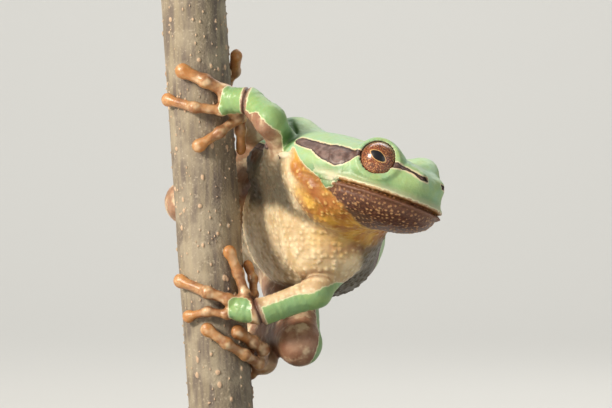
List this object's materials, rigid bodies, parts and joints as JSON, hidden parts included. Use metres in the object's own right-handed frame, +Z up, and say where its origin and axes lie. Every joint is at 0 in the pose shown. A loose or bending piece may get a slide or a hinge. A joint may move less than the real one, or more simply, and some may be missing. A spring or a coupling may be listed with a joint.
{
  "type": "european tree frog on a twig",
  "caption": "Still life-size tree frog that grips an upright cut length of twig and looks aside, held on a plain round display stand.",
  "frame": {"origin": "middle of the underside of the display stand's round base", "axes": "+Z up, along the upright twig; -Y towards the picture's viewer; +X to the picture's right"},
  "size_m": [0.056, 0.056, 0.066],
  "materials": {
    "green_skin": "smooth moist skin, light leaf green",
    "pale_skin": "finely granular cream and golden skin",
    "digit_skin": "glossy orange tan skin",
    "eye": "wet gloss over a copper iris",
    "bark": "dry grey brown bark with small raised pores",
    "stand_metal": "satin black paint"
  },
  "bodies": {
    "root": {"head": "green_skin", "torso": "pale_skin", "eye_right": "eye", "eye_left": "eye", "upper_arm_right": "green_skin", "upper_arm_left": "green_skin", "forearm_right": "green_skin", "forearm_left": "green_skin", "hand_right": "digit_skin", "hand_left": "digit_skin", "thigh_right": "green_skin", "thigh_left": "green_skin", "shank_right": "green_skin", "shank_left": "green_skin", "tarsus_right": "green_skin", "tarsus_left": "green_skin", "foot_right": "digit_skin", "foot_left": "digit_skin", "perch_stem": "bark", "stand_base": "stand_metal", "stand_rod": "stand_metal"}
  },
  "joints": []
}
